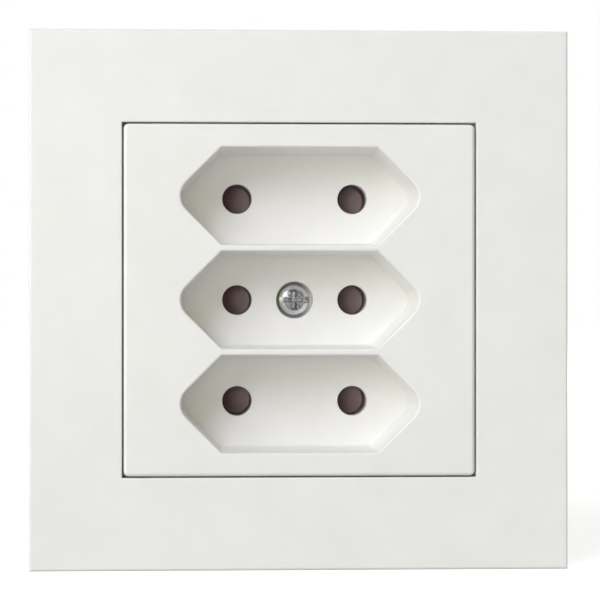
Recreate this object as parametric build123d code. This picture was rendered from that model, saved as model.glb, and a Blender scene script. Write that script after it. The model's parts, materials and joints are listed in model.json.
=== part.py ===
from build123d import *
from math import cos, pi, radians, sin, sqrt, tan
import os

# Flush wall socket with three two-pin outlets, one above the other.
# Millimetres, +Z up, the front faces -Y.
# The origin is the middle of the wall plane and +Y runs into the wall.

# Cover frame
FRAME_SIZE = 84.5
FRAME_HEIGHT = 9.7
FRAME_WALL = 1.8
FRAME_FRONT = 2.2
FRAME_EDGE = 0.5
FRAME_GAP = 0.25
WINDOW_EDGE = 0.15
WINDOW_COLLAR = 0.35
LEDGE_THICKNESS = 1.5
RIB_WALL = 1.2
RIB_PITCH = 40.0
RIB_GAP = 0.3

# Centre plate with its three plug recesses
PLATE_SIZE = 55.0
PLATE_PROUD = 0.3
PLATE_FRONT = 2.0
PLATE_CORNER = 0.8
PLATE_EDGE = 0.4
SKIRT_WALL = 1.6
SKIRT_DEPTH = 4.0
ROW_PITCH = 16.24
RECESS_DEPTH = 10.0
RECESS_HEIGHT = 15.2
RECESS_FLAT = 24.5
RECESS_TIP = 3.0
RECESS_DRAFT = 2.3
RECESS_WALL = 1.2
FLOOR_THICKNESS = 1.8
HOLE_DIAMETER = 4.74

# Plug pins that the outlets take
PIN_SPACING = 18.6
PIN_DIAMETER = 4.0
PIN_LENGTH = 19.0

# Centre screw, sunk in the middle recess
HEAD_DIAMETER = 4.82
HEAD_HEIGHT = 1.3
HEAD_CROWN = 0.35
HEAD_SINK = 1.0
HEAD_SLOT_WIDTH = 1.0
HEAD_SLOT_DEPTH = 0.6
CROSS_SPAN = 3.1
CROSS_WIDTH = 1.0
CROSS_DEPTH = 0.9
COUNTERBORE = 5.92
SCREW_DIAMETER = 3.0
SCREW_PASSAGE = 3.6
SCREW_TAIL = 1.0
BOSS_WALL = 1.1
SEAT_WALL = 0.9
BOSS_CLEARANCE = 0.3

# Shutters: sliders with a ramped tongue behind each pin hole, and a round collar beside the ramp
RAMP_ANGLE = 14.0
COLLAR_LAP = 0.08
COLLAR_DEPTH = 3.24
COLLAR_WALL = 0.35
TONGUE_SIDE = 0.38
TONGUE_LIP = 0.25
RAIL_WIDTH = 1.25
RAIL_THICKNESS = 1.8
END_BAR = 1.2
OPEN_CLEARANCE = 0.25
RUN_GAP = 0.2
STOP_GAP = 0.1
LUG_X = -2.0
LUG_THICKNESS = 1.6

# Return springs
SPRING_DIAMETER = 2.4
SPRING_WIRE = 0.36
SPRING_SPACE = 8.6
SPRING_TURNS = 5
SPRING_STEPS = 6
SPRING_GAP = 0.15
PEG_SIDE = 0.9
PEG_LENGTH = 1.5

# Shutter carrier, snapped to the back of the centre plate
CARRIER_WALL = 1.8
CARRIER_FLOOR = 1.2
CARRIER_HOOK_X = 16.3
PIN_PASSAGE = 5.2

# Snap hooks of the carrier and of the contact cover
HOOK_WIDTH = 3.4
HOOK_WALL = 1.2
HOOK_NOSE = 0.7
HOOK_TIP = 1.2
HOOK_GAP = 0.15
COVER_HOOK_REACH = 4.0

# Contact cover and socket base
INSERT_GAP = 0.3
COVER_THICKNESS = 1.6
BOX_RADIUS = 28.6
BASE_HEIGHT = 50.0
BASE_WALL = 1.6
BASE_REAR = 2.0
COLUMN_WALL = 2.0
CHANNEL_DEPTH = 5.0
CHANNEL_GAP = 0.4
CHANNEL_WALL = 1.1
WIRE_ENTRY = 4.6
WIRE_MOUTH = 6.0
CLAMP_WINDOW = 4.8

# Square nut for the centre screw
NUT_SIDE = 5.5
NUT_THICKNESS = 2.4
NUT_GAP = 0.1
THREAD_GAP = 0.05

# Contact strips
STRIP_THICKNESS = 0.6
CLIP_WIDTH = 5.0
CLIP_ROOT = 5.6
CLIP_GRIP = 3.5
CLIP_MOUTH = 5.2
MOUTH_GAP = 0.6
GRIP_DEPTH = 2.6
TIP_CLEARANCE = 1.2
TAB_WIDTH = 2.8
TAB_LAP = 2.2
TAB_Z = 2.8

# Terminal blocks and their screws
TERMINAL_GAP = 1.8
TERMINAL_WIDTH = 6.0
TERMINAL_LENGTH = 10.4
TERMINAL_DEPTH = 7.0
WIRE_BORE = 3.8
WIRE_BORE_DEPTH = 5.6
WIRE_Z = -2.2
CLAMP_DIAMETER = 3.0
CLAMP_LENGTH = 3.6
CLAMP_SLOT_WIDTH = 0.8
CLAMP_SLOT_DEPTH = 0.9

# Steel mounting plate and the screws that hold the socket base behind it
STEEL_THICKNESS = 1.0
STEEL_STANDOFF = 0.4
STEEL_EDGE = 2.0
STEEL_CORNER = 4.0
BOX_SCREW_PITCH = 60.0
BOX_SLOT_WIDTH = 4.2
BOX_SLOT_LENGTH = 7.0
APERTURE_GAP = 0.4
PILLAR_WIDTH = 6.2
PILLAR_HEIGHT = 8.0
PILLAR_ROOT = 2.0
PILLAR_INSET = 0.2
BASE_SCREW_DIAMETER = 2.9
BASE_SCREW_HEAD = 5.4
BASE_SCREW_HEAD_HEIGHT = 1.6
BASE_SCREW_DEPTH = 7.0
BASE_SCREW_GAP = 0.2

# Where the pieces lie, worked out from the front to the back
ROWS = {"top": ROW_PITCH, "middle": 0.0, "bottom": -ROW_PITCH}
SIDES = {"left": -1, "right": 1}
PIN_X = PIN_SPACING / 2
HOLE_RADIUS = HOLE_DIAMETER / 2
FRAME_FRONT_Y = -FRAME_HEIGHT
PLATE_FRONT_Y = FRAME_FRONT_Y - PLATE_PROUD
SKIRT_END_Y = PLATE_FRONT_Y + SKIRT_DEPTH
FLOOR_Y = PLATE_FRONT_Y + RECESS_DEPTH
FLOOR_BACK_Y = FLOOR_Y + FLOOR_THICKNESS
HEAD_SEAT_Y = FLOOR_Y + HEAD_SINK + HEAD_HEIGHT
BOSS_END_Y = HEAD_SEAT_Y + SEAT_WALL
BOSS_HALF = COUNTERBORE / 2 + BOSS_WALL

COLLAR_RADIUS = HOLE_RADIUS + COLLAR_LAP
TONGUE_END = COLLAR_RADIUS + COLLAR_WALL
TONGUE_HALF = HOLE_RADIUS + TONGUE_SIDE
COLLAR_FRONT_Y = BOSS_END_Y + BOSS_CLEARANCE
RAMP_FRONT_Y = COLLAR_FRONT_Y + COLLAR_DEPTH
RAMP_BACK_Y = RAMP_FRONT_Y + (COLLAR_RADIUS + TONGUE_END) * tan(radians(RAMP_ANGLE))
SHUTTER_FRONT_Y = FLOOR_BACK_Y + RUN_GAP
SHUTTER_BACK_Y = RAMP_BACK_Y + TONGUE_LIP
RAIL_FRONT_Y = SHUTTER_BACK_Y - RAIL_THICKNESS
RAIL_HALF = TONGUE_HALF + RAIL_WIDTH
CHAMBER_HALF = max(RAIL_HALF, BOSS_HALF) + RUN_GAP
SHUTTER_TRAVEL = COLLAR_RADIUS + PIN_DIAMETER / 2 + OPEN_CLEARANCE
SHUTTER_RIGHT = PIN_X + TONGUE_END
OPENING_LEFT = -PIN_X - SHUTTER_TRAVEL - PIN_DIAMETER / 2 - OPEN_CLEARANCE
SHUTTER_LEFT = OPENING_LEFT - END_BAR

SPRING_Y = SHUTTER_BACK_Y - SPRING_DIAMETER / 2
SPRING_Z = -(CHAMBER_HALF + SPRING_GAP + SPRING_DIAMETER / 2)
LUG_END_Z = SPRING_Z - SPRING_DIAMETER / 2
POCKET_END_X = LUG_X + SPRING_SPACE

CHAMBER_LEFT = SHUTTER_LEFT - STOP_GAP
CHAMBER_RIGHT = SHUTTER_RIGHT + SHUTTER_TRAVEL + RUN_GAP
CHAMBER_FLOOR_Y = SHUTTER_BACK_Y + RUN_GAP
CARRIER_BACK_Y = CHAMBER_FLOOR_Y + CARRIER_FLOOR

RECESS_HALF_WIDTH = (RECESS_FLAT + RECESS_HEIGHT) / 2 - RECESS_TIP * (sqrt(2) - 1)
INSERT_HALF_WIDTH = max(RECESS_HALF_WIDTH + RECESS_WALL, CHAMBER_RIGHT + CARRIER_WALL)
INSERT_HALF_HEIGHT = ROW_PITCH + RECESS_HEIGHT / 2 + RECESS_WALL
STEEL_BACK_Y = -STEEL_STANDOFF
STEEL_FRONT_Y = STEEL_BACK_Y - STEEL_THICKNESS
STEEL_SIZE = BOX_SCREW_PITCH + BOX_SLOT_LENGTH + 2 * STEEL_EDGE

COVER_FRONT_Y = CARRIER_BACK_Y + INSERT_GAP
BASE_FRONT_Y = COVER_FRONT_Y + COVER_THICKNESS
COVER_HOOK_Y = BASE_FRONT_Y + COVER_HOOK_REACH
COVER_HOOK_Z = BASE_HEIGHT / 2 - BASE_WALL - HOOK_GAP - HOOK_WALL
WEB_FRONT_Y = FLOOR_Y + PIN_LENGTH + TIP_CLEARANCE
REAR_WALL_Y = WEB_FRONT_Y + STRIP_THICKNESS
BASE_BACK_Y = REAR_WALL_Y + BASE_REAR
PILLAR_INNER_X = INSERT_HALF_WIDTH + APERTURE_GAP + PILLAR_INSET
PILLAR_X = PILLAR_INNER_X + PILLAR_WIDTH / 2
BASE_HALF_WIDTH = PILLAR_INNER_X + PILLAR_WIDTH + PILLAR_INSET
NUT_BACK_Y = BASE_FRONT_Y + NUT_THICKNESS

TERMINAL_INNER_X = PIN_X + CLIP_ROOT / 2 + STRIP_THICKNESS / 2 + TERMINAL_GAP
TERMINAL_OUTER_X = TERMINAL_INNER_X + TERMINAL_WIDTH
TERMINAL_X = (TERMINAL_INNER_X + TERMINAL_OUTER_X) / 2
CLAMP_Y = REAR_WALL_Y - WIRE_BORE_DEPTH / 2

PIN_POINTS = [(side * PIN_X, z) for z in ROWS.values() for side in SIDES.values()]
HOOK_POINTS = [(side, z) for z in (-ROW_PITCH / 2, ROW_PITCH / 2) for side in SIDES.values()]
BASE_SCREW_POINTS = [(-PILLAR_X, 0), (PILLAR_X, 0)]
WIRE_POINTS = [(-TERMINAL_X, WIRE_Z), (TERMINAL_X, WIRE_Z)]


def at(depth):
    """Front-view plane at a depth, facing the viewer, with x to the right and z upwards."""
    return Plane.XZ.offset(-depth)


def slab(outline, front, back):
    """Prism of a front-view outline between two depths."""
    return extrude(at(back) * outline, amount=back - front)


def box_between(x0, x1, front, back, z0, z1):
    """Block between two values on each axis."""
    outline = Pos((x0 + x1) / 2, (z0 + z1) / 2) * Rectangle(abs(x1 - x0), abs(z1 - z0))
    return slab(outline, front, back)


def discs(points, diameter):
    """Round outlines at front-view points."""
    return Sketch() + [Pos(x, z) * Circle(diameter / 2) for x, z in points]


def squares(points, side):
    """Square outlines at front-view points."""
    return Sketch() + [Pos(x, z) * Rectangle(side, side) for x, z in points]


def plug_outline(grow):
    """Six-sided outline of the plug's recess, moved outwards by grow."""
    half_height = RECESS_HEIGHT / 2 + grow
    shoulder = RECESS_FLAT / 2 + grow * tan(radians(22.5))
    tip = shoulder + half_height
    upper = [(shoulder, half_height), (-shoulder, half_height), (-tip, 0)]
    lower = [(-shoulder, -half_height), (shoulder, -half_height), (tip, 0)]
    return Polygon(*upper, *lower, align=None)


def recess_outline():
    """Inside of a recess, with rounded tips."""
    outline = plug_outline(0)
    points = outline.vertices().group_by(Axis.X)
    return fillet(points[0] + points[-1], RECESS_TIP)


def tub_outline():
    """Outside of a recess's walls, with its tips cut off square."""
    width = 2 * (RECESS_HALF_WIDTH + RECESS_WALL)
    return plug_outline(RECESS_WALL) & Rectangle(width, RECESS_HEIGHT + 2 * RECESS_WALL)


def drafted_rows(outline, depth):
    """Prism of each row that narrows from the plate's front, as the moulding does."""
    prism = slab(outline, PLATE_FRONT_Y, PLATE_FRONT_Y + depth)
    walls = prism.faces().sort_by(Axis.Y)[1:-1]
    narrowed = draft(walls, at(PLATE_FRONT_Y), -RECESS_DRAFT)
    return [Pos(0, 0, z) * narrowed for z in ROWS.values()]


def insert_outline(grow=0.0):
    """What passes the mounting plate's aperture: a rectangle trimmed to the round wall box."""
    sides = Rectangle(2 * (INSERT_HALF_WIDTH + grow), 2 * (INSERT_HALF_HEIGHT + grow))
    return sides & Circle(BOX_RADIUS + grow)


def base_outline(grow=0.0):
    """Socket base: a round with four flats."""
    sides = Rectangle(2 * (BASE_HALF_WIDTH + grow), BASE_HEIGHT + 2 * grow)
    return sides & Circle(BOX_RADIUS + grow)


def hook(root, catch, tip, inner):
    """Snap arm along Y with its nose outwards along X."""
    outer = inner + HOOK_WALL
    arm = [(inner, root), (inner, tip), (outer, tip)]
    nose = [(outer + HOOK_NOSE, catch), (outer, catch), (outer, root)]
    profile = Polygon(*arm, *nose, align=None)
    return extrude(Plane.XY * profile, amount=HOOK_WIDTH / 2, both=True)


def cover_frame():
    inner_side = FRAME_SIZE - 2 * FRAME_WALL
    window = PLATE_SIZE + 2 * FRAME_GAP
    collar = window + 2 * WINDOW_COLLAR
    ledge_side = 2 * (INSERT_HALF_HEIGHT + APERTURE_GAP)
    ledge_back = SKIRT_END_Y + LEDGE_THICKNESS
    roof_y = FRAME_FRONT_Y + FRAME_FRONT
    shell = slab(Rectangle(FRAME_SIZE, FRAME_SIZE), FRAME_FRONT_Y, 0)
    front = shell.faces().sort_by(Axis.Y)[0]
    shell = fillet(front.edges(), FRAME_EDGE)
    shell -= slab(Rectangle(inner_side, inner_side), roof_y, 0)
    shell += slab(Rectangle(collar, collar), roof_y, ledge_back)
    for turn in range(4):
        shell += [Rot(0, 90 * turn, 0) * rib for rib in frame_ribs(roof_y, collar / 2, inner_side / 2)]
    shell -= slab(Rectangle(window, window), FRAME_FRONT_Y, SKIRT_END_Y)
    shell -= slab(Rectangle(ledge_side, ledge_side), SKIRT_END_Y, ledge_back)
    front = shell.faces().sort_by(Axis.Y)[0]
    return chamfer(front.inner_wires()[0].edges(), WINDOW_EDGE)


def frame_ribs(roof_y, collar_x, wall_x):
    """Two ribs behind one side of the frame, with feet beside the mounting plate's edge."""
    foot_x = STEEL_SIZE / 2 + RIB_GAP
    foot_y = STEEL_FRONT_Y - RIB_GAP
    outline = Polyline(
        (collar_x, roof_y),
        (collar_x, foot_y),
        (foot_x, foot_y),
        (foot_x, STEEL_BACK_Y),
        (wall_x, STEEL_BACK_Y),
        (wall_x, roof_y),
        close=True,
    )
    rib = extrude(Plane.XY * make_face(outline), amount=RIB_WALL / 2, both=True)
    return [Pos(0, 0, z) * rib for z in (-RIB_PITCH / 2, RIB_PITCH / 2)]


def centre_plate():
    inner_side = PLATE_SIZE - 2 * SKIRT_WALL
    plate = slab(RectangleRounded(PLATE_SIZE, PLATE_SIZE, PLATE_CORNER), PLATE_FRONT_Y, SKIRT_END_Y)
    front = plate.faces().sort_by(Axis.Y)[0]
    plate = chamfer(front.edges(), PLATE_EDGE)
    plate -= slab(Rectangle(inner_side, inner_side), PLATE_FRONT_Y + PLATE_FRONT, SKIRT_END_Y)
    plate += drafted_rows(tub_outline(), RECESS_DEPTH + FLOOR_THICKNESS)
    plate += slab(insert_outline(), FLOOR_Y, FLOOR_BACK_Y)
    plate += slab(Rectangle(2 * BOSS_HALF, 2 * BOSS_HALF), FLOOR_Y, BOSS_END_Y)
    plate -= drafted_rows(recess_outline(), RECESS_DEPTH)
    plate -= slab(discs(PIN_POINTS, HOLE_DIAMETER), FLOOR_Y, FLOOR_BACK_Y)
    plate -= slab(Circle(COUNTERBORE / 2), FLOOR_Y, HEAD_SEAT_Y)
    plate -= slab(Circle(SCREW_PASSAGE / 2), HEAD_SEAT_Y, BOSS_END_Y)
    return plate - hook_windows()


def hook_windows():
    """Openings beside the recesses where the carrier's hooks reach through and catch."""
    inner = CARRIER_HOOK_X - HOOK_NOSE - HOOK_GAP
    outer = CARRIER_HOOK_X + HOOK_WALL + HOOK_GAP
    half = HOOK_WIDTH / 2 + HOOK_GAP
    spots = [(side * inner, side * outer, z - half, z + half) for side, z in HOOK_POINTS]
    return [box_between(x0, x1, FLOOR_Y, FLOOR_BACK_Y, z0, z1) for x0, x1, z0, z1 in spots]


def centre_screw():
    """Domed head with a slot across a cross recess, and a shank through the square nut."""
    head_y = HEAD_SEAT_Y - HEAD_HEIGHT
    rim_y = head_y + HEAD_CROWN
    radius = HEAD_DIAMETER / 2
    dome_radius = (radius**2 + HEAD_CROWN**2) / (2 * HEAD_CROWN)
    screw = slab(Circle(radius), head_y, HEAD_SEAT_Y)
    screw &= slab(Circle(radius), rim_y, HEAD_SEAT_Y) + Pos(0, head_y + dome_radius, 0) * Sphere(dome_radius)
    screw += slab(Circle(SCREW_DIAMETER / 2), HEAD_SEAT_Y, NUT_BACK_Y + SCREW_TAIL)
    screw -= slab(Rectangle(HEAD_DIAMETER, HEAD_SLOT_WIDTH), head_y, head_y + HEAD_SLOT_DEPTH)
    cross = Rectangle(CROSS_SPAN, CROSS_WIDTH) + Rectangle(CROSS_WIDTH, CROSS_SPAN)
    return screw - slab(cross, head_y, head_y + CROSS_DEPTH)


def tongue(x):
    """Shallow ramp behind one pin hole: it falls away to the left, out of a round collar."""
    start, end = x - COLLAR_RADIUS, x + TONGUE_END
    block = box_between(start, end, COLLAR_FRONT_Y, SHUTTER_BACK_Y, -TONGUE_HALF, TONGUE_HALF)
    front = [(start, COLLAR_FRONT_Y), (end, COLLAR_FRONT_Y)]
    ramp = [(end, RAMP_FRONT_Y), (start, RAMP_BACK_Y)]
    room = extrude(Plane.XY * Polygon(*front, *ramp, align=None), amount=TONGUE_HALF, both=True)
    plan = Pos((start + x) / 2, 0) * Rectangle(COLLAR_RADIUS, 2 * COLLAR_RADIUS)
    plan += Pos(x, 0) * Circle(COLLAR_RADIUS)
    return block - (room & slab(plan, COLLAR_FRONT_Y, SHUTTER_BACK_Y))


def shutter(z):
    """Slider of one row: two rails with cheeks, two tongues, an end bar and a spring lug."""
    cheek_left = (SHUTTER_LEFT, -BOSS_HALF - BOSS_CLEARANCE - SHUTTER_TRAVEL)
    cheek_right = (PIN_X - COLLAR_RADIUS, SHUTTER_RIGHT)
    depths = (RAIL_FRONT_Y, SHUTTER_BACK_Y)
    slider = box_between(SHUTTER_LEFT, OPENING_LEFT, *depths, -RAIL_HALF, RAIL_HALF)
    for low, high in ((-RAIL_HALF, -TONGUE_HALF), (TONGUE_HALF, RAIL_HALF)):
        slider += box_between(SHUTTER_LEFT, SHUTTER_RIGHT, *depths, low, high)
        for x0, x1 in (cheek_left, cheek_right):
            slider += box_between(x0, x1, SHUTTER_FRONT_Y, SHUTTER_BACK_Y, low, high)
    for x in (-PIN_X, PIN_X):
        slider += tongue(x)
    lug_depths = (SHUTTER_BACK_Y - SPRING_DIAMETER, SHUTTER_BACK_Y)
    slider += box_between(LUG_X - LUG_THICKNESS, LUG_X, *lug_depths, LUG_END_Z, -TONGUE_HALF)
    slider += spring_peg(LUG_X, 1)
    return Pos(0, 0, z) * slider


def spring_peg(x, direction):
    """Square peg that centres the end of a spring."""
    face = Plane((x, SPRING_Y, SPRING_Z), z_dir=(direction, 0, 0)) * Rectangle(PEG_SIDE, PEG_SIDE)
    return extrude(face, amount=PEG_LENGTH)


def shutter_spring(z):
    """Coil spring between a shutter's lug and the end of its pocket, in short straight steps."""
    length = SPRING_SPACE - SPRING_WIRE - 2 * SPRING_GAP
    radius = (SPRING_DIAMETER - SPRING_WIRE) / 2
    steps = SPRING_TURNS * SPRING_STEPS
    turns = [2 * pi * i / SPRING_STEPS for i in range(steps + 1)]
    points = [(length * i / steps, radius * cos(t), radius * sin(t)) for i, t in enumerate(turns)]
    path = Polyline(*points)
    section = Plane(origin=path @ 0, z_dir=path % 0) * Rectangle(SPRING_WIRE, SPRING_WIRE)
    coil = sweep(section, path=path, transition=Transition.RIGHT)
    return Pos(LUG_X + SPRING_GAP + SPRING_WIRE / 2, SPRING_Y, z + SPRING_Z) * coil


def shutter_carrier():
    """Tray behind the centre plate: a chamber for each shutter, with a side pocket for its spring."""
    tray = slab(insert_outline(), FLOOR_BACK_Y, CARRIER_BACK_Y)
    lug_left = LUG_X - LUG_THICKNESS - RUN_GAP
    depths = (FLOOR_BACK_Y, CHAMBER_FLOOR_Y)
    for z in ROWS.values():
        tray -= box_between(CHAMBER_LEFT, CHAMBER_RIGHT, *depths, z - CHAMBER_HALF, z + CHAMBER_HALF)
        tray -= box_between(lug_left, POCKET_END_X, *depths, z + LUG_END_Z - RUN_GAP, z)
    tray += [Pos(0, 0, z) * spring_peg(POCKET_END_X, -1) for z in ROWS.values()]
    tray -= slab(squares(PIN_POINTS, PIN_PASSAGE), CHAMBER_FLOOR_Y, CARRIER_BACK_Y)
    tray -= slab(Rectangle(SCREW_PASSAGE, SCREW_PASSAGE), CHAMBER_FLOOR_Y, CARRIER_BACK_Y)
    catch = FLOOR_Y - HOOK_GAP
    arm = hook(CHAMBER_FLOOR_Y, catch, catch - HOOK_TIP, CARRIER_HOOK_X)
    turned = {1: arm, -1: Rot(0, 180, 0) * arm}
    return tray + [Pos(0, 0, z) * turned[side] for side, z in HOOK_POINTS]


def contact_cover():
    """Cover over the contacts, notched for the pillars and snapped into the socket base."""
    notch_x = PILLAR_INNER_X - PILLAR_INSET
    notch_z = PILLAR_HEIGHT / 2 + PILLAR_INSET
    depths = (COVER_FRONT_Y, BASE_FRONT_Y)
    cover = slab(base_outline(), *depths)
    for side in SIDES.values():
        cover -= box_between(side * notch_x, side * BASE_HALF_WIDTH, *depths, -notch_z, notch_z)
    cover -= slab(squares(PIN_POINTS, PIN_PASSAGE), *depths)
    cover -= slab(Rectangle(SCREW_PASSAGE, SCREW_PASSAGE), *depths)
    arm = hook(COVER_FRONT_Y, COVER_HOOK_Y, COVER_HOOK_Y + HOOK_TIP, COVER_HOOK_Z)
    return cover + [Rot(0, turn, 0) * arm for turn in (-90, 90)]


def socket_base():
    """Cup that holds the contacts and terminals, with two pillars up to the mounting plate."""
    base = slab(base_outline(), BASE_FRONT_Y, BASE_BACK_Y)
    base -= slab(base_outline(-BASE_WALL), BASE_FRONT_Y, REAR_WALL_Y)
    pocket = NUT_SIDE + 2 * NUT_GAP
    column = pocket + 2 * COLUMN_WALL
    base += slab(Rectangle(column, column), BASE_FRONT_Y, REAR_WALL_Y)
    base += channel_walls()
    pillar = slab(Rectangle(PILLAR_WIDTH, PILLAR_HEIGHT), STEEL_BACK_Y, BASE_FRONT_Y + PILLAR_ROOT)
    base += [Pos(x, 0, z) * pillar for x, z in BASE_SCREW_POINTS]
    pilots = discs(BASE_SCREW_POINTS, BASE_SCREW_DIAMETER + 2 * THREAD_GAP)
    base -= slab(pilots, STEEL_BACK_Y, BASE_SCREW_DEPTH)
    base -= slab(Rectangle(pocket, pocket), BASE_FRONT_Y, NUT_BACK_Y)
    base -= slab(Rectangle(SCREW_PASSAGE, SCREW_PASSAGE), NUT_BACK_Y, NUT_BACK_Y + 2 * SCREW_TAIL)
    base -= slab(squares(WIRE_POINTS, WIRE_ENTRY), REAR_WALL_Y, BASE_BACK_Y)
    funnel = (WIRE_MOUTH - WIRE_ENTRY) / 2
    mouth = at(BASE_BACK_Y) * Rectangle(WIRE_MOUTH, WIRE_MOUTH)
    base -= [Pos(x, 0, z) * extrude(mouth, amount=funnel, taper=45) for x, z in WIRE_POINTS]
    for side in SIDES.values():
        view = Plane((side * BASE_HALF_WIDTH, CLAMP_Y, WIRE_Z), z_dir=(-side, 0, 0))
        base -= extrude(view * Rectangle(CLAMP_WINDOW, CLAMP_WINDOW), amount=BASE_WALL)
    half = HOOK_WIDTH / 2 + HOOK_GAP
    depths = (COVER_HOOK_Y - HOOK_GAP, COVER_HOOK_Y + HOOK_TIP + HOOK_GAP)
    for turn in (-90, 90):
        catch = box_between(BASE_HEIGHT / 2 - BASE_WALL, BASE_HEIGHT / 2, *depths, -half, half)
        base -= Rot(0, turn, 0) * catch
    return base


def channel_walls():
    """Walls beside each contact strip, with a gap where its tab leaves to the terminal."""
    near = CLIP_ROOT / 2 + STRIP_THICKNESS / 2 + CHANNEL_GAP
    far = near + CHANNEL_WALL
    depths = (REAR_WALL_Y - CHANNEL_DEPTH, REAR_WALL_Y)
    end = ROW_PITCH + CLIP_WIDTH / 2
    gap = TAB_WIDTH / 2 + CHANNEL_GAP
    walls = []
    for side in SIDES.values():
        walls.append(box_between(side * (PIN_X - near), side * (PIN_X - far), *depths, -end, end))
        for low, high in ((-end, TAB_Z - gap), (TAB_Z + gap, end)):
            walls.append(box_between(side * (PIN_X + near), side * (PIN_X + far), *depths, low, high))
    return walls


def centre_nut():
    outline = Rectangle(NUT_SIDE, NUT_SIDE) - Circle(SCREW_DIAMETER / 2 + THREAD_GAP)
    return slab(outline, BASE_FRONT_Y, NUT_BACK_Y)


def contact_strip(side):
    """Folded strip with three spring clips, one behind each hole of its side."""
    web_y = WEB_FRONT_Y + STRIP_THICKNESS / 2
    mouth_y = BASE_FRONT_Y + MOUTH_GAP
    half = [(CLIP_MOUTH / 2, mouth_y), (CLIP_GRIP / 2, mouth_y + GRIP_DEPTH), (CLIP_ROOT / 2, web_y)]
    mirrored = [(-x, y) for x, y in reversed(half)]
    clip = extrude(trace(Polyline(*half, *mirrored), STRIP_THICKNESS), amount=CLIP_WIDTH / 2, both=True)
    strip = Part() + [Pos(0, 0, z) * clip for z in ROWS.values()]
    web_half = (CLIP_ROOT - STRIP_THICKNESS) / 2
    end = ROW_PITCH + CLIP_WIDTH / 2
    strip += box_between(-web_half, web_half, WEB_FRONT_Y, REAR_WALL_Y, -end, end)
    tab_end = side * (TERMINAL_INNER_X - PIN_X + TAB_LAP)
    low, high = TAB_Z - TAB_WIDTH / 2, TAB_Z + TAB_WIDTH / 2
    strip += box_between(0, tab_end, WEB_FRONT_Y, REAR_WALL_Y, low, high)
    return Pos(side * PIN_X, 0, 0) * strip


def terminal_block(side):
    """Brass block with a wire bore, a clamping thread across it and a notch for the strip's tab."""
    depths = (REAR_WALL_Y - TERMINAL_DEPTH, REAR_WALL_Y)
    half = TERMINAL_LENGTH / 2
    block = box_between(side * TERMINAL_INNER_X, side * TERMINAL_OUTER_X, *depths, -half, half)
    bore = Pos(side * TERMINAL_X, WIRE_Z) * Circle(WIRE_BORE / 2)
    block -= slab(bore, REAR_WALL_Y - WIRE_BORE_DEPTH, REAR_WALL_Y)
    thread = Plane((side * TERMINAL_OUTER_X, CLAMP_Y, WIRE_Z), z_dir=(-side, 0, 0))
    block -= extrude(thread * Circle(CLAMP_DIAMETER / 2 + THREAD_GAP), amount=TERMINAL_WIDTH / 2)
    notch_x = side * (TERMINAL_INNER_X + TAB_LAP + THREAD_GAP)
    notch_half = TAB_WIDTH / 2 + THREAD_GAP
    notch_depths = (WEB_FRONT_Y - THREAD_GAP, REAR_WALL_Y)
    notch_rows = (TAB_Z - notch_half, TAB_Z + notch_half)
    return block - box_between(side * TERMINAL_INNER_X, notch_x, *notch_depths, *notch_rows)


def terminal_screws():
    """Slotted clamping screws, backed out so that the wire bores are free."""
    screws = []
    for side in SIDES.values():
        tip = Plane((side * (TERMINAL_X + WIRE_BORE / 2), CLAMP_Y, WIRE_Z), z_dir=(side, 0, 0))
        screw = extrude(tip * Circle(CLAMP_DIAMETER / 2), amount=CLAMP_LENGTH)
        slot = tip.offset(CLAMP_LENGTH - CLAMP_SLOT_DEPTH) * Rectangle(CLAMP_SLOT_WIDTH, CLAMP_DIAMETER)
        screws.append(screw - extrude(slot, amount=CLAMP_SLOT_DEPTH))
    return screws


def mounting_plate():
    """Steel plate with four slots for the wall box screws and two holes for the socket base's."""
    plate = RectangleRounded(STEEL_SIZE, STEEL_SIZE, STEEL_CORNER) - insert_outline(APERTURE_GAP)
    slot = Pos(BOX_SCREW_PITCH / 2, 0) * SlotOverall(BOX_SLOT_LENGTH, BOX_SLOT_WIDTH)
    plate -= [Rot(0, 0, 90 * turn) * slot for turn in range(4)]
    plate -= discs(BASE_SCREW_POINTS, BASE_SCREW_DIAMETER + 2 * BASE_SCREW_GAP)
    return slab(plate, STEEL_FRONT_Y, STEEL_BACK_Y)


def base_screws():
    """Slotted screws that hold the socket base's pillars to the mounting plate."""
    head_y = STEEL_FRONT_Y - BASE_SCREW_HEAD_HEIGHT
    end_y = BASE_SCREW_DEPTH - BASE_SCREW_GAP
    screw = slab(Circle(BASE_SCREW_DIAMETER / 2), STEEL_FRONT_Y, end_y)
    screw += slab(Circle(BASE_SCREW_HEAD / 2), head_y, STEEL_FRONT_Y)
    screw -= slab(Rectangle(HEAD_SLOT_WIDTH, BASE_SCREW_HEAD), head_y, head_y + HEAD_SLOT_DEPTH)
    return [Pos(x, 0, z) * screw for x, z in BASE_SCREW_POINTS]


PIECES = {
    "cover_frame": cover_frame(),
    "centre_plate": centre_plate(),
    "centre_screw": centre_screw(),
    "shutter_carrier": shutter_carrier(),
    "contact_cover": contact_cover(),
    "socket_base": socket_base(),
    "centre_nut": centre_nut(),
    "terminal_screws": terminal_screws(),
    "mounting_plate": mounting_plate(),
    "base_screws": base_screws(),
}
for row, height in ROWS.items():
    PIECES[f"shutter_{row}"] = shutter(height)
    PIECES[f"shutter_spring_{row}"] = shutter_spring(height)
for name, side in SIDES.items():
    PIECES[f"contact_strip_{name}"] = contact_strip(side)
    PIECES[f"terminal_block_{name}"] = terminal_block(side)

os.makedirs("parts", exist_ok=True)
for name, piece in PIECES.items():
    solids = piece if isinstance(piece, list) else piece.solids()
    shape = solids[0] if len(solids) == 1 else Compound(children=[s.solid() for s in solids])
    export_step(shape, f"parts/{name}.step")
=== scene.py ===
"""Looks of the flush wall socket: finishes, rounded edges, threaded screw, springs, stage and camera."""

import json
import math

import bmesh
import bpy
from mathutils import Matrix, Vector


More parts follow.
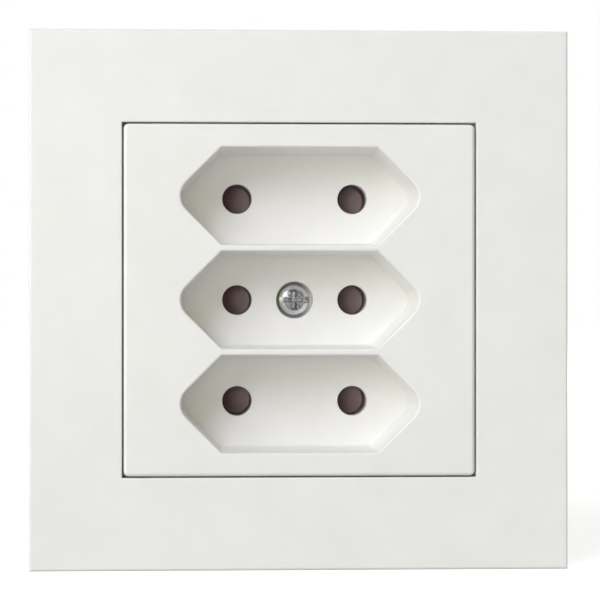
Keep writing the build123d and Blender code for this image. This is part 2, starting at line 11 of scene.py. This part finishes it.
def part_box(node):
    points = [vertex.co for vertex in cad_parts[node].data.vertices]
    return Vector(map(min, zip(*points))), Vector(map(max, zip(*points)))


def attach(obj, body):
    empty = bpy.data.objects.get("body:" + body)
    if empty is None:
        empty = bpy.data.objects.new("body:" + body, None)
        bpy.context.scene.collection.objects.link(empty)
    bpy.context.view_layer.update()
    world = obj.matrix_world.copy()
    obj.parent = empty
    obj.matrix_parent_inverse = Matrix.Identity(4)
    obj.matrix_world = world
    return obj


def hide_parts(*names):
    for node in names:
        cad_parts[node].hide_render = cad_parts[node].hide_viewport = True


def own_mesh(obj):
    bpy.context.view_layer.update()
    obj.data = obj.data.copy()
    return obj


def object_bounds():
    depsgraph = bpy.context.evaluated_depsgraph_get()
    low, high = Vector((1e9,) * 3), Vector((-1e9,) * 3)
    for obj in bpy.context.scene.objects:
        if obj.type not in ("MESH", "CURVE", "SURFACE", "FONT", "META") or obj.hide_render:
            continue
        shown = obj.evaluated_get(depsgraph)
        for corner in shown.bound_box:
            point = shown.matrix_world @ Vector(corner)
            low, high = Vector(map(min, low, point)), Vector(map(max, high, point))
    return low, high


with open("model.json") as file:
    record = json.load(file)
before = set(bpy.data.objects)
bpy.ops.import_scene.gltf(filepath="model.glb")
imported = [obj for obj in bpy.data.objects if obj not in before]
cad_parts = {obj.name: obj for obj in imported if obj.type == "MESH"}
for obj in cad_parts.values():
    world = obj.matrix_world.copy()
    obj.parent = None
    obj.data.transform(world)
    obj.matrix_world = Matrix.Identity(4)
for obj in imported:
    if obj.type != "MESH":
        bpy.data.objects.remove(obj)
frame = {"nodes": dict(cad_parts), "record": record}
cad_low, cad_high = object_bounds()

MM = 0.001
ROWS = ("top", "middle", "bottom")

# Camera, as the photograph was taken: from the left of the middle, at the middle's height
CAMERA_DISTANCE = 308.6 * MM
CAMERA_LEFT = 26.8 * MM
CAMERA_YAW = math.radians(2.2)
CAMERA_CLIP = 10.0 * MM
FIELD_WIDTH = 93.4 * MM
SENSOR_WIDTH = 36.0

# Warm fill from all around
FILL_STRENGTH = 0.19
FILL_TINT = (1.0, 0.91, 0.58)

# Soft lamps: width and height in metres, bearing in degrees to the right and up, power in watts
LAMP_DISTANCE = 1.2
LAMPS = {
    "key": {"size": (0.5, 0.9), "bearing": (-30, 33), "power": 9.0, "tint": (0.81, 0.85, 1.0)},
    "side": {"size": (0.8, 0.5), "bearing": (-61, 5), "power": 5.0, "tint": (0.98, 1.0, 0.84)},
    "front": {"size": (0.5, 0.25), "bearing": (-10, 5), "power": 1.15, "tint": FILL_TINT},
    "right": {"size": (0.5, 0.5), "bearing": (20, 45), "power": 1.3, "tint": (0.84, 0.86, 0.86)},
    "back": {"size": (1.2, 1.2), "bearing": (132, 35), "power": 8.0, "tint": (0.88, 0.93, 1.0)},
}

# Floor, in metres: its glow grows between the two distances of its reach, and is weak where the shadow falls
FLOOR_SIZE = 6.0
FLOOR_ALBEDO = 0.62
FLOOR_GLOW = (0.60, 0.95)
FLOOR_REACH = (0.15, 0.60)

# Finishes by material slot: tints and roughness run from one end to the other over the span of a noise
NOISE_SPAN = (0.3, 0.7)
SCRATCH_STRETCH = (14.0, 1.0, 1.0)
PLASTICS = {
    "frame_white": {"dark": (0.815, 0.815, 0.80), "light": (0.845, 0.845, 0.83), "roughness": (0.30, 0.36)},
    "plate_white": {
        "dark": (0.82, 0.81, 0.795), "light": (0.85, 0.84, 0.825), "roughness": (0.30, 0.36),
        # Painted shade on the bottom of the bore round the centre screw, left of it
        "seat_shade_tints": ((0.16, 0.16, 0.15), (0.22, 0.22, 0.21)),
    },
    "shutter_brown": {
        "dark": (0.29, 0.178, 0.210), "light": (0.37, 0.234, 0.275), "roughness": (0.34, 0.42),
        "cloud": 2.5 * MM, "shine": 1.0,
    },
    "carrier_plastic": {
        "dark": (0.11, 0.062, 0.060), "light": (0.14, 0.080, 0.076), "roughness": (0.30, 0.42),
        "depth": 0.002 * MM,
    },
    "base_plastic": {
        "dark": (0.56, 0.55, 0.51), "light": (0.64, 0.63, 0.59), "roughness": (0.42, 0.55),
        "depth": 0.003 * MM,
    },
}
BRASS = {"dark": (0.55, 0.36, 0.13), "light": (0.78, 0.55, 0.24)}
METALS = {
    "screw_zinc": {
        "dark": (0.76, 0.77, 0.77), "light": (0.93, 0.94, 0.93), "roughness": (0.14, 0.24),
        # Painted dark reflection on the middle of the centre screw's head, painted shade on its slot and
        # side
        "stain": 0.5 * MM, "dark_reflection_and_shade": ((0.05, 0.055, 0.055), (0.34, 0.35, 0.36)),
    },
    "spring_steel": {"dark": (0.30, 0.30, 0.31), "light": (0.48, 0.48, 0.49), "roughness": (0.22, 0.34)},
    "contact_brass": {**BRASS, "roughness": (0.22, 0.40), "stain": 2.2 * MM},
    "terminal_brass": {**BRASS, "roughness": (0.28, 0.44), "stain": 1.4 * MM},
}
SHEETS = {
    "plate_steel": {"dark": (0.46, 0.48, 0.50), "light": (0.55, 0.57, 0.58), "roughness": (0.36, 0.45)},
}

# Rounded edges
WELD_DISTANCE = 0.002 * MM
FLAT_ANGLE = math.radians(0.5)
EDGE_ANGLE = math.radians(32)
EDGE_STEPS = 3
NORMAL_WEIGHT = 50
FINE_EDGE = 0.08 * MM
EDGE_RADIUS = {
    "cover_frame": 0.06 * MM,
    "centre_plate": 0.16 * MM,
    "mounting_plate": 0.10 * MM,
    "socket_base": 0.20 * MM,
}

# Recess rims of the centre plate, which are rounder than its other edges
RIM_RADIUS = 0.35 * MM
RIM_STEPS = 5
RIM_REACH_X = 20.0 * MM
RIM_REACH_Z = 25.5 * MM
RIM_DEPTH = 0.01 * MM

# Centre screw's head
HEAD_RADIUS = 2.41 * MM
HEAD_CROWN = 0.64 * MM
HEAD_HEIGHT = 1.3 * MM
HEAD_CHAMFER = 0.1 * MM
CROWN_SHARES = (0.08, 0.2, 0.32, 0.44, 0.56, 0.68, 0.8, 0.9, 0.96)
CROWN_EDGE_INSET = 0.01 * HEAD_RADIUS
CROWN_EDGE_FRONT = 0.03 * MM
CROWN_EDGE_BACK = 0.05 * MM

# Centre screw's slot, cross recess with a star in its middle, and tick marks
SLOT_LENGTH = 2.4 * HEAD_RADIUS
SLOT_WIDTH = 1.0 * MM
SLOT_DEPTH = 0.60 * MM
CROSS_SPAN = 3.1 * MM
CROSS_WIDTH = 1.0 * MM
CROSS_DEPTH = 1.25 * MM
CROSS_TAPER = 0.26 * MM
STAR_WIDTH = 1.25 * MM
STAR_TURN = 45
TICK_WIDTH = 0.22 * MM
TICK_DEPTH = 0.42 * MM
TICK_TURNS = (45, 135)
CUT_OVERSHOOT = 0.2 * MM

# Centre screw's shank
SCREW_SEGMENTS = 72
SCREW_RADIUS = 1.5 * MM
SCREW_PITCH = 0.5 * MM
NECK_FLARE = 0.12 * MM
NECK_LENGTH = 0.1 * MM
THREAD_DEPTH = 0.27 * MM
THREAD_START = 0.5 * MM
THREAD_STOP = 0.4 * MM
THREAD_STEPS = 8
TIP_CHAMFER = 0.3 * MM

# Screw's head: middle painted dark as a reflection, slot and side painted with shade, bright rim; and
# painted shade on the bottom of the bore round it
DARK_REFLECTION_RADIUS = 1.6 * MM
BRIGHT_RADIUS = 1.9 * MM
BRIGHT_EDGE = 0.05 * MM
SHADED_SIDE_RADIUS = HEAD_RADIUS - BRIGHT_EDGE / 4
OTHER_SCREWS_FROM = 2 * HEAD_RADIUS
# Painted shade on the bottom of the bore, left of the screw; its right side stays lit
SEAT_RADIUS = 3.2 * MM
SEAT_RISE = 0.4 * MM
SEAT_FULL_SHADE_TO = 1.0 * MM
SEAT_LIT_FROM = 2.8 * MM

# Return springs
WIRE_DIAMETER = 0.36 * MM
WIRE_SIDES = 10
SPRING_TURNS = 6.5
SPRING_STEPS = 28
CLOSED_TURNS = 1.0


def add(tree, kind, inputs=None, **settings):
    """New node of a kind, with its settings and its inputs, which are values or other nodes' outputs."""
    node = tree.nodes.new(kind)
    for key, value in settings.items():
        setattr(node, key, value)
    for key, value in (inputs or {}).items():
        if isinstance(value, bpy.types.NodeSocket):
            tree.links.new(value, node.inputs[key])
        else:
            node.inputs[key].default_value = value
    return node


def calculate(tree, operation, *values):
    """Result of an operation on one or two values."""
    return add(tree, "ShaderNodeMath", dict(enumerate(values)), operation=operation).outputs["Value"]


def least(tree, smallest, *others):
    """Smallest of some values."""
    for other in others:
        smallest = calculate(tree, "MINIMUM", smallest, other)
    return smallest


def map_range(tree, value, start, end, target=(0.0, 1.0)):
    """Value carried from the range between start and end to the target range, and kept inside it."""
    inputs = {"Value": value, "From Min": start, "From Max": end, "To Min": target[0], "To Max": target[1]}
    return add(tree, "ShaderNodeMapRange", inputs).outputs["Result"]


def noise(tree, size, detail, stretch=(1.0, 1.0, 1.0)):
    """Noise over the piece's own coordinates, with features of about size, drawn out along an axis."""
    place = add(tree, "ShaderNodeTexCoord").outputs["Object"]
    scale = [1.0 / (size * s) for s in stretch]
    mapping = add(tree, "ShaderNodeMapping", {"Vector": place, "Scale": scale})
    inputs = {"Vector": mapping.outputs["Vector"], "Scale": 1.0, "Detail": detail}
    return add(tree, "ShaderNodeTexNoise", inputs).outputs["Fac"]


def tints(tree, factor, dark, light):
    """Colour between two tints."""
    ramp = add(tree, "ShaderNodeValToRGB", {"Fac": factor})
    for element, position, tint in zip(ramp.color_ramp.elements, NOISE_SPAN, (dark, light)):
        element.position = position
        element.color = (*tint, 1)
    return ramp.outputs["Color"]


def blend(tree, factor, first, second):
    """Colour from one colour's socket to another's."""
    mix = add(tree, "ShaderNodeMix", data_type="RGBA", clamp_factor=True)
    sockets = [s for s in mix.inputs if s.enabled]
    for socket, source in zip(sockets, (factor, first, second)):
        tree.links.new(source, socket)
    return next(s for s in mix.outputs if s.enabled)


def relief(tree, height, depth):
    """Normal from a height map of a given depth."""
    return add(tree, "ShaderNodeBump", {"Height": height, "Distance": depth}).outputs["Normal"]


def round_screw(tree):
    """Distance from the centre screw's axis, and the coordinates."""
    place = add(tree, "ShaderNodeTexCoord").outputs["Object"]
    flat = add(tree, "ShaderNodeMapping", {"Vector": place, "Scale": (1.0, 0.0, 1.0)}).outputs["Vector"]
    radius = add(tree, "ShaderNodeVectorMath", {0: flat}, operation="LENGTH").outputs["Value"]
    return radius, add(tree, "ShaderNodeSeparateXYZ", {"Vector": place}).outputs


def painted_seat_shade(tree):
    """Painted shade: 1 on the bottom of the bore round the centre screw's head, 0 elsewhere and at its lit
    right side.
    """
    radius, axes = round_screw(tree)
    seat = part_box("centre_screw")[0].y + HEAD_HEIGHT
    return least(
        tree,
        map_range(tree, axes["Y"], seat - SEAT_RISE, seat),
        map_range(tree, radius, SEAT_RADIUS, SEAT_RADIUS - BRIGHT_EDGE),
        map_range(tree, axes["X"], SEAT_LIT_FROM, SEAT_FULL_SHADE_TO),
    )


def own_colour_mask(tree):
    """1 on the rim of the centre screw's head and on other screws, 0 on its middle, painted with a dark
    reflection, and on its slot and side, painted with shade.
    """
    radius, axes = round_screw(tree)
    height = calculate(tree, "ABSOLUTE", axes["Z"])
    rim = least(
        tree,
        map_range(tree, radius, DARK_REFLECTION_RADIUS, BRIGHT_RADIUS),
        map_range(tree, height, SLOT_WIDTH / 2, SLOT_WIDTH / 2 + BRIGHT_EDGE),
        map_range(tree, radius, SHADED_SIDE_RADIUS, SHADED_SIDE_RADIUS - BRIGHT_EDGE / 2),
    )
    others = map_range(tree, radius, OTHER_SCREWS_FROM, OTHER_SCREWS_FROM + BRIGHT_EDGE)
    return calculate(tree, "MAXIMUM", rim, others)


def new_material(name, metallic):
    """Plastic or metal, with its node tree and its shader."""
    material = bpy.data.materials.new(name)
    material.use_nodes = True
    shader = material.node_tree.nodes["Principled BSDF"]
    shader.inputs["Metallic"].default_value = metallic
    return material, material.node_tree, shader


def connect(tree, shader, colour, roughness, normal):
    """Feeds what changes over the surface into the shader."""
    for key, source in (("Base Color", colour), ("Roughness", roughness), ("Normal", normal)):
        tree.links.new(source, shader.inputs[key])


def moulded_plastic(
    name, dark, light, roughness, cloud=7.0 * MM, grain=0.11 * MM, depth=0.0012 * MM, shine=0.5, seat_shade_tints=None
):
    """Plastic with faint clouds in its colour and the fine grain of its mould, with painted shade round the
    screw.
    """
    material, tree, shader = new_material(name, 0.0)
    shader.inputs["Specular IOR Level"].default_value = shine
    fine = noise(tree, grain, detail=3.0)
    clouds = noise(tree, cloud, detail=4.0)
    colour = tints(tree, clouds, dark, light)
    if seat_shade_tints:
        # Painted shade on the bottom of the bore round the screw
        colour = blend(tree, painted_seat_shade(tree), colour, tints(tree, clouds, *seat_shade_tints))
    gloss = map_range(tree, fine, *NOISE_SPAN, roughness)
    connect(tree, shader, colour, gloss, relief(tree, fine, depth))
    return material


def plated_metal(
    name, dark, light, roughness, stain=0.9 * MM, scratch=0.05 * MM, depth=0.004 * MM, dark_reflection_and_shade=None
):
    """Bright metal with a stained plating and fine scratches all one way, painted darker where a dark
    reflection and shade are painted.
    """
    material, tree, shader = new_material(name, 1.0)
    stains = noise(tree, stain, detail=5.0)
    scratches = noise(tree, scratch, detail=2.0, stretch=SCRATCH_STRETCH)
    colour = tints(tree, stains, dark, light)
    if dark_reflection_and_shade:
        # Painted dark reflection and shade on the centre screw's head
        colour = blend(tree, own_colour_mask(tree), tints(tree, stains, *dark_reflection_and_shade), colour)
    gloss = map_range(tree, stains, *NOISE_SPAN, roughness)
    connect(tree, shader, colour, gloss, relief(tree, scratches, depth))
    return material


def galvanised_steel(name, dark, light, roughness, crystal=2.6 * MM, grain=0.3 * MM, depth=0.006 * MM):
    """Sheet with zinc crystals of different brightness."""
    material, tree, shader = new_material(name, 1.0)
    place = add(tree, "ShaderNodeTexCoord").outputs["Object"]
    crystals = add(tree, "ShaderNodeTexVoronoi", {"Vector": place, "Scale": 1 / crystal}).outputs["Color"]
    shade = add(tree, "ShaderNodeSeparateColor", {"Color": crystals}).outputs["Red"]
    gloss = map_range(tree, shade, *NOISE_SPAN, roughness)
    normal = relief(tree, noise(tree, grain, detail=4.0), depth)
    connect(tree, shader, tints(tree, shade, dark, light), gloss, normal)
    return material


def finishes():
    """One finish for each material slot of the record."""
    made = {}
    for make, looks in ((moulded_plastic, PLASTICS), (plated_metal, METALS), (galvanised_steel, SHEETS)):
        for slot, look in looks.items():
            made[slot] = make(slot, **look)
    return made


def modifier_nodes(name):
    """Tree of modifier nodes, and the mesh that comes into it."""
    tree = bpy.data.node_groups.new(name, "GeometryNodeTree")
    for way in ("INPUT", "OUTPUT"):
        tree.interface.new_socket("Geometry", in_out=way, socket_type="NodeSocketGeometry")
    return tree, add(tree, "NodeGroupInput").outputs["Geometry"]


def smooth_shading():
    """Modifier nodes that shade a whole mesh smooth, with no sharp edges left."""
    tree, mesh = modifier_nodes("smooth_shading")
    for domain in ("FACE", "EDGE"):
        inputs = {"Geometry": mesh, "Shade Smooth": True}
        mesh = add(tree, "GeometryNodeSetShadeSmooth", inputs, domain=domain).outputs["Geometry"]
    add(tree, "NodeGroupOutput", {"Geometry": mesh})
    return tree


def recess_rims():
    """Modifier nodes that mark the sharp edges round the recesses in the plate's front for a wider bevel."""
    tree, mesh = modifier_nodes("recess_rims")
    place = add(tree, "GeometryNodeInputPosition").outputs["Position"]
    axes = add(tree, "ShaderNodeSeparateXYZ", {"Vector": place}).outputs
    angle = add(tree, "GeometryNodeInputMeshEdgeAngle").outputs["Unsigned Angle"]
    mark = least(
        tree,
        calculate(tree, "GREATER_THAN", angle, EDGE_ANGLE),
        calculate(tree, "LESS_THAN", axes["Y"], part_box("centre_plate")[0].y + RIM_DEPTH),
        calculate(tree, "LESS_THAN", calculate(tree, "ABSOLUTE", axes["X"]), RIM_REACH_X),
        calculate(tree, "LESS_THAN", calculate(tree, "ABSOLUTE", axes["Z"]), RIM_REACH_Z),
    )
    inputs = {"Geometry": mesh, "Name": "bevel_weight_edge", "Value": mark}
    store = add(tree, "GeometryNodeStoreNamedAttribute", inputs, data_type="FLOAT", domain="EDGE")
    add(tree, "NodeGroupOutput", {"Geometry": store.outputs["Geometry"]})
    return tree


def bevel(node, name, radius, steps, limit):
    """Rounds the edges of a solid that are sharp or marked."""
    edges = node.modifiers.new(name, "BEVEL")
    edges.width = radius
    edges.segments = steps
    edges.limit_method = limit
    edges.angle_limit = EDGE_ANGLE
    edges.loop_slide = False


def soften(node, radius, smooth, rims=None):
    """Rounds the sharp edges of a solid and lets its large faces rule the shading."""
    weld = node.modifiers.new("weld", "WELD")
    weld.merge_threshold = WELD_DISTANCE
    flat = node.modifiers.new("flat", "DECIMATE")
    flat.decimate_type = "DISSOLVE"
    flat.angle_limit = FLAT_ANGLE
    if rims:
        node.modifiers.new("mark", "NODES").node_group = rims
        bevel(node, "rims", RIM_RADIUS, RIM_STEPS, "WEIGHT")
    bevel(node, "edges", radius, EDGE_STEPS, "ANGLE")
    node.modifiers.new("shade", "NODES").node_group = smooth
    normals = node.modifiers.new("normals", "WEIGHTED_NORMAL")
    normals.mode = "FACE_AREA"
    normals.weight = NORMAL_WEIGHT


def dress_solids():
    """Finish and rounded edges of the solids that stay."""
    smooth = smooth_shading()
    for part in frame["record"]["subparts"]:
        node = frame["nodes"][part["node"]]
        node.data.materials.clear()
        node.data.materials.append(FINISH[part["material_slot"]])
        if not node.hide_render:
            rims = recess_rims() if part["node"] == "centre_plate" else None
            soften(node, EDGE_RADIUS.get(part["node"], FINE_EDGE), smooth, rims)


def new_object(name, data):
    """Object in the scene with its mesh, light or camera."""
    made = bpy.data.objects.new(name, data)
    bpy.context.scene.collection.objects.link(made)
    return made


def new_mesh(name, bm):
    """Mesh of what was drawn, with its faces turned outwards."""
    bmesh.ops.recalc_face_normals(bm, faces=bm.faces)
    mesh = bpy.data.meshes.new(name)
    bm.to_mesh(mesh)
    bm.free()
    return mesh


def new_piece(name, bm, body, slot, *replaced):
    """Mesh piece that rides on a body and stands for solids."""
    mesh = new_mesh(name, bm)
    mesh.shade_smooth()
    mesh.set_sharp_from_angle(angle=EDGE_ANGLE)
    mesh.materials.append(FINISH[slot])
    piece = new_object(name, mesh)
    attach(piece, body)
    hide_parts(*replaced)
    return piece


def skin(bm, rings):
    """Faces between rings of vertices, one after the other, and over both ends."""
    for first, second in zip(rings, rings[1:]):
        for i in range(len(first)):
            j = (i + 1) % len(first)
            bm.faces.new((first[i], first[j], second[j], second[i]))
    bm.faces.new(rings[0])
    bm.faces.new(rings[-1])


def spring_mesh(low, high):
    """Round wire wound round the X axis between two corners, with closed end turns."""
    wire = WIRE_DIAMETER / 2
    radius = (high.z - low.z) / 2 - wire
    centre = (low + high) / 2
    along = Vector((1, 0, 0))
    start = low.x + wire
    free = high.x - low.x - WIRE_DIAMETER - 2 * CLOSED_TURNS * WIRE_DIAMETER
    turns = SPRING_TURNS + 2 * CLOSED_TURNS
    around = [2 * math.pi * k / WIRE_SIDES for k in range(WIRE_SIDES)]
    bm = bmesh.new()
    rings = []
    for i in range(int(turns * SPRING_STEPS) + 1):
        turn = i / SPRING_STEPS
        closing = min(turn, CLOSED_TURNS) + max(0.0, turn - SPRING_TURNS - CLOSED_TURNS)
        open_turns = min(max(turn - CLOSED_TURNS, 0.0), SPRING_TURNS)
        x = start + closing * WIRE_DIAMETER + free * open_turns / SPRING_TURNS
        angle = 2 * math.pi * turn
        out = Vector((0, math.cos(angle), math.sin(angle)))
        point = Vector((x, centre.y, centre.z)) + out * radius
        section = [out * wire * math.cos(a) + along * wire * math.sin(a) for a in around]
        rings.append([bm.verts.new(point + offset) for offset in section])
    skin(bm, rings)
    return bm


def return_springs():
    """Springs of round wire in the places of the shutters' return springs."""
    for row in ROWS:
        node = f"shutter_spring_{row}"
        low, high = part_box(node)
        piece = new_piece(f"return_spring_{row}", spring_mesh(low, high), "housing", "spring_steel", node)
        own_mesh(piece)


def ring(bm, radii, y):
    """Vertices round the Y axis, one for each radius."""
    vertices = []
    for k, radius in enumerate(radii):
        angle = 2 * math.pi * k / len(radii)
        vertices.append(bm.verts.new((radius * math.cos(angle), y, radius * math.sin(angle))))
    return vertices


def lathe_rings(bm, profile):
    """Round rings for a list of (radius, y)."""
    return [ring(bm, [radius] * SCREW_SEGMENTS, y) for radius, y in profile]


def thread_rings(bm, start, end):
    """Rings whose radius follows a V thread, fading out at both ends."""
    count = int((end - start) / SCREW_PITCH * THREAD_STEPS)
    rings = []
    for i in range(count + 1):
        y = start + (end - start) * i / count
        fade = max(0.0, min(1.0, (y - start) / SCREW_PITCH, (end - y) / SCREW_PITCH))
        shares = [(y / SCREW_PITCH - k / SCREW_SEGMENTS) % 1.0 for k in range(SCREW_SEGMENTS)]
        radii = [SCREW_RADIUS - THREAD_DEPTH * fade * (1 - abs(2 * share - 1)) for share in shares]
        rings.append(ring(bm, radii, y))
    return rings


def tapered_block(width, height, front, back, taper=0.0, turn=0):
    """Block along Y, turned round it by some degrees, that narrows on all sides towards its back."""
    turned = Matrix.Rotation(math.radians(turn), 3, "Y")
    bm = bmesh.new()
    rings = []
    for y, shrink in ((front, 0.0), (back, taper)):
        x = width / 2 - shrink
        z = height / 2 - shrink
        corners = [(-x, y, -z), (x, y, -z), (x, y, z), (-x, y, z)]
        rings.append([bm.verts.new(turned @ Vector(corner)) for corner in corners])
    skin(bm, rings)
    return bm


def cut_away(blank, cutters):
    """Solid without its cutters."""
    solid = new_object("blank", new_mesh("blank", blank))
    tools = [new_object("cutter", new_mesh("cutter", cutter)) for cutter in cutters]
    for tool in tools:
        cut = solid.modifiers.new("cut", "BOOLEAN")
        cut.object = tool
        cut.solver = "EXACT"
    depsgraph = bpy.context.evaluated_depsgraph_get()
    mesh = bpy.data.meshes.new_from_object(solid.evaluated_get(depsgraph))
    result = bmesh.new()
    result.from_mesh(mesh)
    for used in (solid, *tools):
        bpy.data.objects.remove(used)
    return result


def screw_blank(front, end):
    """Domed head and threaded shank, with no recess."""
    rim = front + HEAD_CROWN
    seat = front + HEAD_HEIGHT
    dome = (HEAD_RADIUS**2 + HEAD_CROWN**2) / (2 * HEAD_CROWN)
    crown = [HEAD_RADIUS * share for share in CROWN_SHARES]
    profile = [(radius, front + dome - math.sqrt(dome**2 - radius**2)) for radius in crown]
    profile += [
        (HEAD_RADIUS - CROWN_EDGE_INSET, rim - CROWN_EDGE_FRONT),
        (HEAD_RADIUS, rim + CROWN_EDGE_BACK),
        (HEAD_RADIUS, seat - HEAD_CHAMFER),
        (HEAD_RADIUS - HEAD_CHAMFER, seat),
        (SCREW_RADIUS + NECK_FLARE, seat),
        (SCREW_RADIUS, seat + NECK_LENGTH),
    ]
    bm = bmesh.new()
    rings = lathe_rings(bm, profile)
    rings += thread_rings(bm, seat + THREAD_START, end - THREAD_STOP)
    rings += lathe_rings(bm, [(SCREW_RADIUS - TIP_CHAMFER, end)])
    skin(bm, rings)
    return bm


def centre_screw():
    """Domed screw with a slot, a cross recess and four tick marks between the arms of the cross."""
    low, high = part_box("centre_screw")
    front = low.y
    above = front - CUT_OVERSHOOT
    cross = (above, front + CROSS_DEPTH, CROSS_TAPER)
    cutters = [
        tapered_block(SLOT_LENGTH, SLOT_WIDTH, above, front + SLOT_DEPTH),
        tapered_block(CROSS_SPAN, CROSS_WIDTH, *cross),
        tapered_block(CROSS_WIDTH, CROSS_SPAN, *cross),
        tapered_block(STAR_WIDTH, STAR_WIDTH, *cross, turn=STAR_TURN),
    ]
    for turn in TICK_TURNS:
        cutters.append(tapered_block(CROSS_SPAN, TICK_WIDTH, above, front + TICK_DEPTH, turn=turn))
    cut = cut_away(screw_blank(front, high.y), cutters)
    new_piece("centre_screw_threaded", cut, "housing", "screw_zinc", "centre_screw")


def seen_rays(tree):
    """1 for rays from the camera, in reflections and through glass, 0 for rays that carry light."""
    path = add(tree, "ShaderNodeLightPath").outputs
    mirrored = calculate(tree, "MAXIMUM", path["Is Camera Ray"], path["Is Glossy Ray"])
    return calculate(tree, "MAXIMUM", mirrored, path["Is Transmission Ray"])


def floor():
    """Pale floor that shows the socket's shadow and turns white further out."""
    material = bpy.data.materials.new("floor")
    material.use_nodes = True
    tree = material.node_tree
    tree.nodes.clear()
    paint = add(tree, "ShaderNodeBsdfDiffuse", {"Color": (FLOOR_ALBEDO, FLOOR_ALBEDO, FLOOR_ALBEDO, 1)})
    place = add(tree, "ShaderNodeTexCoord").outputs["Object"]
    away = add(tree, "ShaderNodeVectorMath", {0: place}, operation="LENGTH").outputs["Value"]
    glow = calculate(tree, "MULTIPLY", seen_rays(tree), map_range(tree, away, *FLOOR_REACH, FLOOR_GLOW))
    light = add(tree, "ShaderNodeEmission", {"Strength": glow})
    both = add(tree, "ShaderNodeAddShader", {0: paint.outputs["BSDF"], 1: light.outputs["Emission"]})
    add(tree, "ShaderNodeOutputMaterial", {"Surface": both.outputs["Shader"]})
    bm = bmesh.new()
    bmesh.ops.create_grid(bm, size=FLOOR_SIZE / 2)
    mesh = new_mesh("floor", bm)
    mesh.materials.append(material)
    plane = new_object("floor", mesh)
    plane.location.z = cad_low.z


def soft_lamp(name, size, bearing, power, tint):
    """Elliptic lamp that faces the socket."""
    right, up = (math.radians(angle) for angle in bearing)
    way = Vector((math.sin(right) * math.cos(up), -math.cos(right) * math.cos(up), math.sin(up)))
    data = bpy.data.lights.new(name, "AREA")
    data.shape = "ELLIPSE"
    data.size, data.size_y = size
    data.energy = power
    data.color = tint
    lamp = new_object(name, data)
    lamp.location = way * LAMP_DISTANCE
    lamp.rotation_euler = (-way).to_track_quat("-Z", "Y").to_euler()


def studio():
    """White surroundings that give a soft fill, and the lamps."""
    world = bpy.data.worlds.new("studio")
    bpy.context.scene.world = world
    world.use_nodes = True
    tree = world.node_tree
    tree.nodes.clear()
    fill = add(tree, "ShaderNodeBackground", {"Color": (*FILL_TINT, 1), "Strength": FILL_STRENGTH})
    white = add(tree, "ShaderNodeBackground", {"Color": (1, 1, 1, 1), "Strength": 1.0})
    inputs = {0: seen_rays(tree), 1: fill.outputs["Background"], 2: white.outputs["Background"]}
    mix = add(tree, "ShaderNodeMixShader", inputs)
    add(tree, "ShaderNodeOutputWorld", {"Surface": mix.outputs["Shader"]})
    for name, lamp in LAMPS.items():
        soft_lamp(name, **lamp)


def camera():
    """Camera left of the middle, turned a little towards it and shifted for the rest."""
    data = bpy.data.cameras.new("camera")
    data.sensor_width = SENSOR_WIDTH
    data.lens = SENSOR_WIDTH * CAMERA_DISTANCE / FIELD_WIDTH
    bearing = math.atan2(CAMERA_LEFT, CAMERA_DISTANCE)
    data.shift_x = math.tan(bearing - CAMERA_YAW) * data.lens / SENSOR_WIDTH
    data.clip_start = CAMERA_CLIP
    eye = new_object("camera", data)
    eye.location = (-CAMERA_LEFT, cad_low.y - CAMERA_DISTANCE, 0)
    eye.rotation_euler = (math.pi / 2, 0, -CAMERA_YAW)
    bpy.context.scene.camera = eye


FINISH = finishes()
centre_screw()
return_springs()
dress_solids()
floor()
studio()
camera()
bpy.context.scene.view_settings.view_transform = "Standard"
